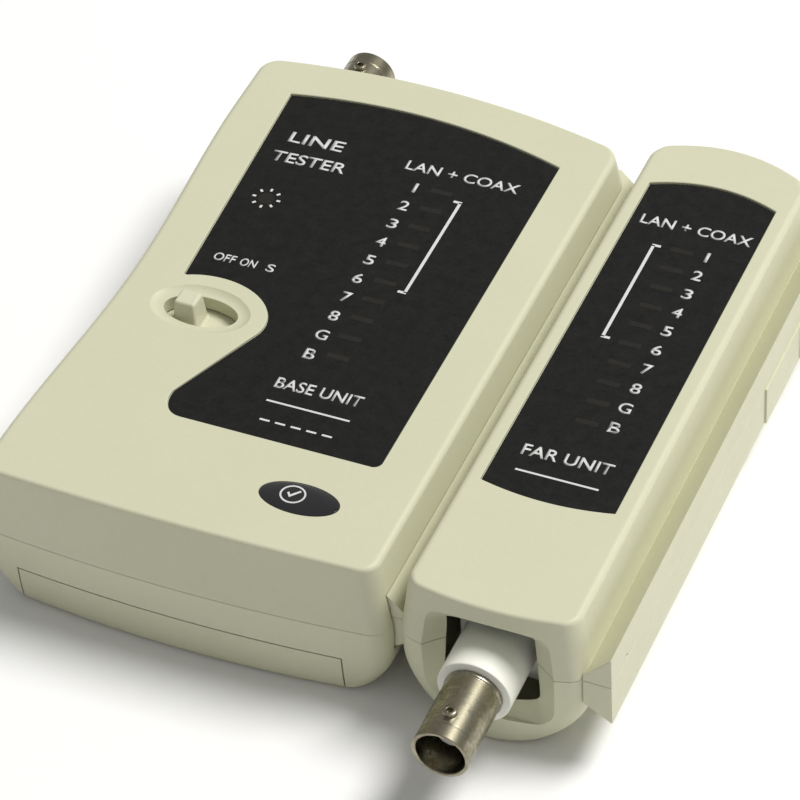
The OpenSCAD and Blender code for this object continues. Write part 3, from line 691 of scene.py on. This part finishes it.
def funnel_seam():
    """The fine parting line where the two halves meet on the funnel's walls."""
    seam = block((dock_pitch - 14, -64, remote_parting - 0.09), (dock_pitch + 14, -50, remote_parting + 0.09))
    return carved(seam, [funnel(0.16)], "INTERSECT")


remote_top = lofted("remote_top_case", upper_rings(remote_upper, remote_parting))
carved(remote_top, [rail_half(-1, True), rail_half(1, True)], "UNION")
carved(remote_top, [remote_hollow()])
carved(remote_top, case_posts(remote_posts, 10, 27.2, boss_r), "UNION")
nick = [(dock_pitch + x, y) for x, y in ((20.5, -52), (20.5, -50.2), (19.9, -50.4), (19.9, -51.8))]
carved(remote_top, [funnel(), funnel_seam(), film_recess(remote_film), jack_opening(dock_pitch),
                    lofted("tool", [flat(nick, 17.9), flat(nick, 18.5)])]
       + case_posts(remote_posts, 9, 20, pilot_r))
smoothed(remote_top)
fitted(remote_top, ivory_abs, "remote", "ivory_case", "remote_top_shell")

remote_low = lofted(
    "remote_bottom_case",
    hull_rings(remote_parting, 5.1, 11, 1.8, -57.8, 2.8, 56.4, 4.2, 2.8, 0, dock_pitch),
)
steps_in_rail = [block((dock_pitch + 19.3, y, 9.2), (dock_pitch + 20.3 + reach, 54, 17))
                 for y, reach in ((15.5, 0.35), (33, 0.7))]
carved(remote_low, [rail_half(-1, False), rail_half(1, False)] + steps_in_rail, "UNION")
carved(remote_low, [remote_hollow()])
carved(remote_low, case_posts(remote_posts, 1, 9, foot_r), "UNION")
carved(remote_low, [funnel(), funnel_seam(), nose_relief(), jack_opening(dock_pitch)]
       + case_posts(remote_posts, -1, 7, head_r) + case_posts(remote_posts, -1, 12, shank_r))
smoothed(remote_low)
fitted(remote_low, ivory_abs, "remote", "ivory_case", "remote_bottom_shell")

# --- Printed films --------------------------------------------------------------------------
# Thin black polycarbonate labels, screen printed and glued into the sunken beds.
# Ten smoked windows in a row let the lamps show through; white ink carries generic marks.

film_black = moulded(
    "film_black", (0.0085, 0.0085, 0.0084), (0.0155, 0.0152, 0.0145), (0.42, 0.6), (0.02, 0.02, 0.019),
    soft=0.00005, scale=420.0, specks=1500.0, fine=2400.0, bumps=0.3,
)
shader_of(film_black).inputs["Specular IOR Level"].default_value = 0.14
window_smoke = moulded(
    "window_smoke", (0.026, 0.025, 0.021), (0.017, 0.0165, 0.0145), (0.4, 0.5), (0.03, 0.03, 0.03),
    soft=0.00003, scale=700.0, specks=4000.0, fine=6000.0, bumps=0.03,
)
shader_of(window_smoke).inputs["Specular IOR Level"].default_value = 0.14
white_ink = moulded(
    "white_ink", (0.72, 0.72, 0.71), (0.6, 0.6, 0.59), (0.5, 0.62), (0.72, 0.72, 0.72),
    soft=0.00003, scale=900.0, specks=5000.0, fine=6000.0, bumps=0.04,
)


def film_piece(name, shape):
    """A film with a fine chamfer along its upper edge."""
    return lofted(name, [
        flat(shape(0), film_low), flat(shape(0), film_top - 0.05), flat(shape(-0.05), film_top),
    ])


for body, shape in (("master", master_film), ("remote", remote_film)):
    film = smoothed(film_piece(body + "_film", shape))
    fitted(film, film_black, body, "black_overlay", body + "_overlay")


def joined(name, parts):
    """Several meshes as one piece."""
    maker = bmesh.new()
    for part in parts:
        mesh = part.data
        maker.from_mesh(mesh)
        bpy.data.objects.remove(part)
    mesh = bpy.data.meshes.new(name)
    maker.to_mesh(mesh)
    maker.free()
    made = bpy.data.objects.new(name, mesh)
    bpy.context.scene.collection.objects.link(made)
    return made


def bar(x0, x1, y0, y1, z, thick):
    corners = [(x0, y0), (x1, y0), (x1, y1), (x0, y1)]
    return lofted("bar", [flat(corners, z), flat(corners, z + thick)])


ink_thick = 0.015


def words(text, x0, x1, y, height, rise=0.0, bold=0.016):
    """A line of text on a film: from x0 to x1, middle height y, tilted so its end rises."""
    curve = bpy.data.curves.new("words", "FONT")
    curve.body = text
    curve.offset = bold
    holder = bpy.data.objects.new("words", curve)
    bpy.context.scene.collection.objects.link(holder)
    bpy.context.view_layer.update()
    shaped = holder.evaluated_get(bpy.context.evaluated_depsgraph_get())
    outline_mesh = bpy.data.meshes.new_from_object(shaped)
    bpy.data.objects.remove(holder)
    xs = [v.co.x for v in outline_mesh.vertices]
    ys = [v.co.y for v in outline_mesh.vertices]
    low_x, low_y = min(xs), min(ys)
    wide, tall = max(xs) - low_x, max(ys) - low_y
    maker = bmesh.new()
    maker.from_mesh(outline_mesh)
    for v in maker.verts:
        across = (v.co.x - low_x) / wide
        lift = height * ((v.co.y - low_y) / tall - 0.5)
        v.co = Vector((x0 + (x1 - x0) * across, y + lift + rise * (across - 0.5), film_top)) * MM
    grown = bmesh.ops.extrude_face_region(maker, geom=maker.faces[:])
    for item in grown["geom"]:
        if isinstance(item, bmesh.types.BMVert):
            item.co.z += ink_thick * MM
    bmesh.ops.recalc_face_normals(maker, faces=maker.faces)
    mesh = bpy.data.meshes.new("words")
    maker.to_mesh(mesh)
    maker.free()
    made = bpy.data.objects.new("words", mesh)
    bpy.context.scene.collection.objects.link(made)
    return made


def bracket(x, y0, y1, tick):
    """A long line with a short tick at each end, pointing at the row of lamps."""
    thin = 0.28
    return [
        bar(x - thin, x + thin, y1, y0, film_top, ink_thick),
        bar(min(x - thin, x + tick), max(x + thin, x + tick), y0 - thin, y0 + thin, film_top, ink_thick),
        bar(min(x - thin, x + tick), max(x + thin, x + tick), y1 - thin, y1 + thin, film_top, ink_thick),
    ]


def lamp_marks(x, top, foot):
    """The marks 1 to 8, G and B in a column beside the lamps."""
    marks = []
    for i, mark in enumerate("12345678GB"):
        half = {"1": 0.3, "G": 1.15, "B": 1.0}.get(mark, 0.9)
        marks.append(words(mark, x - half, x + half, top - (top - foot) * i / 9, 2.5))
    return marks


power_at = (-18.7, 20)
master_ink = lamp_marks(4.8, 31.4, -14.1)
master_ink += bracket(13.8, 30.3, 5.4, -1.3)
for i in range(8):
    a = math.radians(45 * i)
    ray = bar(1.95, 2.65, -0.22, 0.22, film_top, ink_thick)
    to_lamp = Matrix.Translation((power_at[0] * MM, power_at[1] * MM, 0))
    ray.data.transform(to_lamp @ Matrix.Rotation(a, 4, "Z"))
    master_ink.append(ray)
master_ink += [
    words("LINE", -21.7, -11.4, 37.1, 2.8, 0.35), words("TESTER", -22.7, -8.7, 31.6, 2.8, 0.6),
    words("LAN + COAX", 0.9, 22.1, 36.9, 2.5, 0.2),
    words("OFF", -20.9, -16.9, 3.2, 2.0, 0.1), words("ON", -16.0, -13.0, 3.3, 2.0, 0.1),
    words("S", -11.1, -9.6, 3.4, 2.0), words("BASE UNIT", 2.3, 17.8, -22.1, 2.6, 0.3),
    bar(2.6, 17.6, -27.0, -26.6, film_top, ink_thick),
]
for i in range(5):
    master_ink.append(bar(3.4 + 2.8 * i, 5.2 + 2.8 * i, -31.5, -31.1, film_top, ink_thick))
fitted(joined("master_print", master_ink), white_ink, "master", "black_overlay")

remote_ink = lamp_marks(58.9, 31.3, -13.3)
remote_ink += bracket(49.2, 31.3, 6.7, 1.3)
remote_ink += [
    words("LAN + COAX", 44.7, 64.8, 37.4, 2.5, 0.2), words("FAR UNIT", 46.6, 62.2, -22.8, 2.6, 0.2),
    bar(47.2, 61.6, -27.9, -27.5, film_top, ink_thick),
]
fitted(joined("remote_print", remote_ink), white_ink, "remote", "black_overlay")

lamp_pitch, pane_half, pane_thick = 5, (2.0, 0.55), 0.012
for body, x, y_first in (("master", 9.6, 31.8), ("remote", 54.2, 31.4)):
    panes = []
    for i in range(10):
        y = y_first - lamp_pitch * i
        across = (x - pane_half[0], x + pane_half[0])
        panes.append(bar(*across, y - pane_half[1], y + pane_half[1], film_top, pane_thick))
    if body == "master":
        round_pane = oval(power_at, (1.5, 1.5), 32)
        panes.append(lofted("pane", [flat(round_pane, z) for z in (film_top, film_top + pane_thick)]))
    fitted(joined(body + "_lamp_windows", panes), window_smoke, body, "lamp_tint")

# --- Badge ----------------------------------------------------------------------------------
# A small oval badge of gloss black plastic, domed and pressed into the case, with a plain
# white tick in a ring on its crown.

badge_gloss = moulded(
    "badge_gloss", (0.006, 0.006, 0.007), (0.009, 0.009, 0.01), (0.06, 0.1), (0.02, 0.02, 0.02),
    soft=0.0001, scale=300.0, specks=2500.0, fine=4000.0, bumps=0.01,
)
shader_of(badge_gloss).inputs["Coat Weight"].default_value = 1.0
shader_of(badge_gloss).inputs["Coat Roughness"].default_value = 0.04
badge_rings = [flat(oval(badge_at, badge_half), z) for z in (badge_low, 28.95)]
for i in range(10):
    share = math.cos(math.pi / 2 * i / 10)
    badge_rings.append(flat(oval(badge_at, [h * share for h in badge_half]), 29.0 + 0.55 * (1 - share ** 3)))
fitted(smoothed(lofted("oval_badge_plate", badge_rings)), badge_gloss, "master", "gloss_badge", "oval_badge")
mark_at = (badge_at[0] - 1.1, badge_at[1] + 0.1)
mark_low, mark_high = 29.3, 29.57
ring_inner, ring_outer = (1.9, 1.7), (2.2, 2.0)
mark_rings = [
    flat(oval(mark_at, half, 48), z)
    for half, z in (
        (ring_inner, mark_low), (ring_outer, mark_low), (ring_outer, mark_high), (ring_inner, mark_high)
    )
]
mark_ring = lofted("ring", mark_rings, closed=True)
tick_points = [(-1.05, 0.1), (-0.35, -0.8), (1.15, 0.9), (0.85, 1.15), (-0.38, -0.2), (-0.78, 0.38)]
tick = [(mark_at[0] + x, mark_at[1] + y) for x, y in tick_points]
fitted(
    joined("badge_mark", [mark_ring, lofted("tick", [flat(tick, mark_low), flat(tick, mark_high)])]),
    white_ink, "master", "gloss_badge",
)

# --- Switch knob ----------------------------------------------------------------------------
# The ivory grip of the slide switch, moulded in one with the plate that slides under the case.

ivory_grip = moulded(
    "ivory_grip", (0.66, 0.655, 0.49), (0.6, 0.6, 0.44), (0.4, 0.5), (0.74, 0.73, 0.58),
    soft=0.00025, bumps=0.05,
)
knob_at = (-19.3, -10.4)


def knob_ring(half, r, z):
    return flat(rounded_plan(knob_at, half, r, 6), z)


knob_rings = [
    knob_ring((9.3, 4.3), 1, 24.4), knob_ring((9.4, 4.4), 1, 24.5), knob_ring((9.4, 4.4), 1, 25.4),
    knob_ring((9.3, 4.3), 1, 25.5), knob_ring((2.5, 2.8), 0.6, 25.5), knob_ring((2.2, 2.5), 0.5, 25.8),
    knob_ring((2.05, 2.15), 0.5, 28.4), knob_ring((1.95, 1.85), 0.5, 30.45),
]
for i in range(1, 6):
    a = math.pi / 2 * i / 5
    inward = 0.5 * (1 - math.cos(a))
    half = (1.93 - inward, 1.82 - inward)
    knob_rings.append(knob_ring(half, 0.55 - inward * 0.8, 30.45 + 0.55 * math.sin(a)))
switch_grip = smoothed(lofted("switch_grip", knob_rings), 40)
fitted(switch_grip, ivory_grip, "switch_knob", "ivory_knob", "switch_knob")

# --- Coaxial connectors ---------------------------------------------------------------------
# Bayonet sockets for coaxial cable: a nickel-plated brass barrel with two bayonet lugs, pressed
# into a white nylon body that is soldered to the board. Both connectors are alike.

# The darker tone is painted reflection: its patches stand in for the dark streaks that the surroundings
# reflect in the barrel.
nickel_plate = moulded(
    "nickel_plate", (0.44, 0.41, 0.31), (0.20, 0.18, 0.12), (0.2, 0.4), (0.7, 0.67, 0.56),
    soft=0.00012, scale=330.0, specks=1500.0, fine=3500.0, bumps=0.06,
)
shader_of(nickel_plate).inputs["Metallic"].default_value = 1.0
white_nylon = moulded(
    "white_nylon", (0.90, 0.90, 0.82), (0.86, 0.86, 0.77), (0.4, 0.5), (0.86, 0.86, 0.8),
    soft=0.0003, scale=120.0, specks=1500.0, fine=3500.0, bumps=0.05,
)
coax_places = {
    "master": Matrix.Translation((coax_x, coax_rim, coax_z)) @ Matrix.Rotation(math.pi, 4, "Z"),
    "remote": Matrix.Translation((remote_coax_x, -77.8, coax_z)),
}
barrel_len, barrel_r, bore_r = 14, 4.8, 4.15


def turned(name, profile, place, steps=72):
    """A piece turned on a lathe about Y, from a closed profile of (place along Y, radius)."""
    turns = [2 * math.pi * i / steps for i in range(steps)]
    rings = [[(r * math.cos(a), y, r * math.sin(a)) for a in turns] for y, r in profile]
    return lofted(name, rings, closed=True, place=place)


for body, place in coax_places.items():
    barrel = turned(body + "_coax_sleeve", [
        (0.18, bore_r), (0, 4.3), (0, 4.62), (0.12, barrel_r),
        (2.6, barrel_r), (2.7, 4.72), (2.95, 4.72), (3.05, barrel_r),
        (13.1, barrel_r), (13.2, 4.9), (13.35, 4.95), (13.85, 4.95), (13.95, 4.9), (13.95, barrel_r),
        (23, barrel_r), (23, bore_r),
    ], place)
    lugs = []
    for side in (-1, 1):
        rounds = [(4.0, 1.15), (5.5, 1.15), (5.64, 1.09), (5.7, 0.98), (5.7, 0.6), (5.6, 0.52), (4.9, 0.5)]
        turns = [2 * math.pi * i / 28 for i in range(28)]
        rings = [[(r * math.cos(a), 4.7 + r * math.sin(a), side * z) for a in turns] for z, r in rounds]
        lugs.append(lofted("lug", rings, place=place))
    carved(barrel, lugs, "UNION")
    carved(barrel, [round_opening(0, 0, bore_r, -1, 25, 72, place)])
    smoothed(barrel)
    fitted(barrel, nickel_plate, body, "nickel", body + "_coax_barrel")

    nose = turned("nose", [
        (barrel_len, 4.83), (barrel_len, 6.05), (14.05, 6.2), (14.15, 6.27), (14.3, 6.3),
        (26.5, 6.3), (26.5, 4.83),
    ], place)
    half = 7.25
    seat = []
    for inward, y in ((0.35, 26), (0.1, 26.1), (0, 26.35), (0, 36.65), (0.1, 36.9), (0.35, 37)):
        seat.append(rounded_frame((0, 0), (half - inward, half - inward), 0.8, y))
    seat_block = lofted("seat", seat, place=place)
    fitted(smoothed(joined(body + "_coax_housing", [nose, seat_block])), white_nylon, body, "white_plastic",
           body + "_coax_body")


def dressed(material, *nodes):
    """Gives CAD nodes that stay a material in every slot."""
    for node in nodes:
        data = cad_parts[node].data
        if not data.materials:
            data.materials.append(material)
        for i in range(len(data.materials)):
            data.materials[i] = material


gold_spring = moulded(
    "gold_spring", (0.78, 0.55, 0.22), (0.66, 0.45, 0.17), (0.22, 0.34), (0.86, 0.68, 0.36),
    soft=0.00006, scale=500.0, specks=3000.0, fine=5000.0, bumps=0.04,
)
shader_of(gold_spring).inputs["Metallic"].default_value = 1.0
dielectric = moulded(
    "dielectric", (0.82, 0.82, 0.77), (0.72, 0.71, 0.62), (0.42, 0.52), (0.86, 0.86, 0.82),
    soft=0.0001, scale=300.0, specks=2200.0, fine=4000.0, bumps=0.04,
)
dressed(dielectric, "master_coax_insulator", "remote_coax_insulator")
dressed(
    gold_spring, "master_coax_contact", "remote_coax_contact", "master_jack_contacts", "remote_jack_contacts"
)

# --- Modular jacks --------------------------------------------------------------------------
# Eight-contact sockets at the far ends, moulded in dark grey nylon and soldered to the boards.

jack_nylon = moulded(
    "jack_nylon", (0.03, 0.03, 0.032), (0.04, 0.04, 0.042), (0.42, 0.55), (0.09, 0.09, 0.09),
    soft=0.0002, scale=150.0, specks=1800.0, fine=2600.0, bumps=0.12,
)
dressed(jack_nylon, "master_jack_housing", "remote_jack_housing")

# --- Boards and what is soldered to them ----------------------------------------------------
# Green glass-epoxy boards with red lamps, two logic chips, resistors, diodes, a capacitor and
# the slide switch. They sit inside the closed cases.

board_mask = moulded(
    "board_mask", (0.02, 0.12, 0.05), (0.03, 0.17, 0.07), (0.25, 0.4), (0.35, 0.33, 0.2),
    soft=0.0001, scale=220.0, specks=2400.0, fine=1800.0, bumps=0.15,
)
shader_of(board_mask).inputs["Coat Weight"].default_value = 0.3
dressed(board_mask, "master_circuit_board", "remote_circuit_board")
lamp_epoxy = moulded(
    "lamp_epoxy", (0.5, 0.04, 0.03), (0.38, 0.03, 0.025), (0.15, 0.25), (0.62, 0.1, 0.08),
    soft=0.0002, scale=500.0, specks=3000.0, fine=3000.0, bumps=0.03,
)
shader_of(lamp_epoxy).inputs["Transmission Weight"].default_value = 0.3
dressed(lamp_epoxy, "master_lamps", "power_lamp", "remote_lamps")
black_mould = moulded(
    "black_mould", (0.022, 0.022, 0.023), (0.032, 0.031, 0.03), (0.5, 0.65), (0.07, 0.07, 0.07),
    soft=0.00015, scale=260.0, specks=2600.0, fine=2200.0, bumps=0.2,
)
dressed(black_mould, "counter_chip", "timer_chip", "switch_contact_slider", "battery_snap")
resistor_coat = moulded(
    "resistor_coat", (0.55, 0.40, 0.24), (0.42, 0.28, 0.15), (0.35, 0.5), (0.6, 0.48, 0.32),
    soft=0.00015, scale=420.0, specks=2800.0, fine=3000.0, bumps=0.1,
)
dressed(resistor_coat, "master_resistors")
diode_glass = moulded(
    "diode_glass", (0.45, 0.14, 0.06), (0.2, 0.06, 0.03), (0.08, 0.16), (0.5, 0.25, 0.15),
    soft=0.0001, scale=700.0, specks=3000.0, fine=3000.0, bumps=0.02,
)
dressed(diode_glass, "remote_diodes")
sleeve_blue = moulded(
    "sleeve_blue", (0.03, 0.05, 0.14), (0.045, 0.07, 0.18), (0.25, 0.35), (0.1, 0.14, 0.25),
    soft=0.0003, scale=300.0, specks=2000.0, fine=2500.0, bumps=0.05,
)
dressed(sleeve_blue, "timing_capacitor")
tinned_steel = moulded(
    "tinned_steel", (0.6, 0.6, 0.58), (0.48, 0.48, 0.46), (0.25, 0.4), (0.75, 0.75, 0.74),
    soft=0.00015, scale=320.0, specks=2200.0, fine=2600.0, bumps=0.1,
)
shader_of(tinned_steel).inputs["Metallic"].default_value = 1.0
dressed(tinned_steel, "slide_switch_body", "battery_terminals", "master_case_screws", "remote_case_screws")

# --- Battery and its leads ------------------------------------------------------------------
# A nine-volt block in a printed metal jacket, with a snap cap and two thin leads to the board.

jacket = moulded(
    "battery_jacket", (0.06, 0.09, 0.2), (0.05, 0.075, 0.17), (0.25, 0.35), (0.5, 0.5, 0.52),
    soft=0.0004, scale=90.0, specks=1600.0, fine=2400.0, bumps=0.05,
)
shader_of(jacket).inputs["Metallic"].default_value = 0.6
dressed(jacket, "nine_volt_battery")
lead_red = moulded(
    "lead_red", (0.4, 0.02, 0.02), (0.33, 0.015, 0.015), (0.35, 0.45), (0.45, 0.05, 0.05),
    soft=0.0001, scale=300.0, specks=2400.0, fine=3000.0, bumps=0.05,
)
dressed(lead_red, "positive_lead")
lead_black = moulded(
    "lead_black", (0.015, 0.015, 0.015), (0.025, 0.025, 0.025), (0.35, 0.45), (0.05, 0.05, 0.05),
    soft=0.0001, scale=300.0, specks=2400.0, fine=3000.0, bumps=0.05,
)
dressed(lead_black, "negative_lead")

bpy.context.view_layer.update()
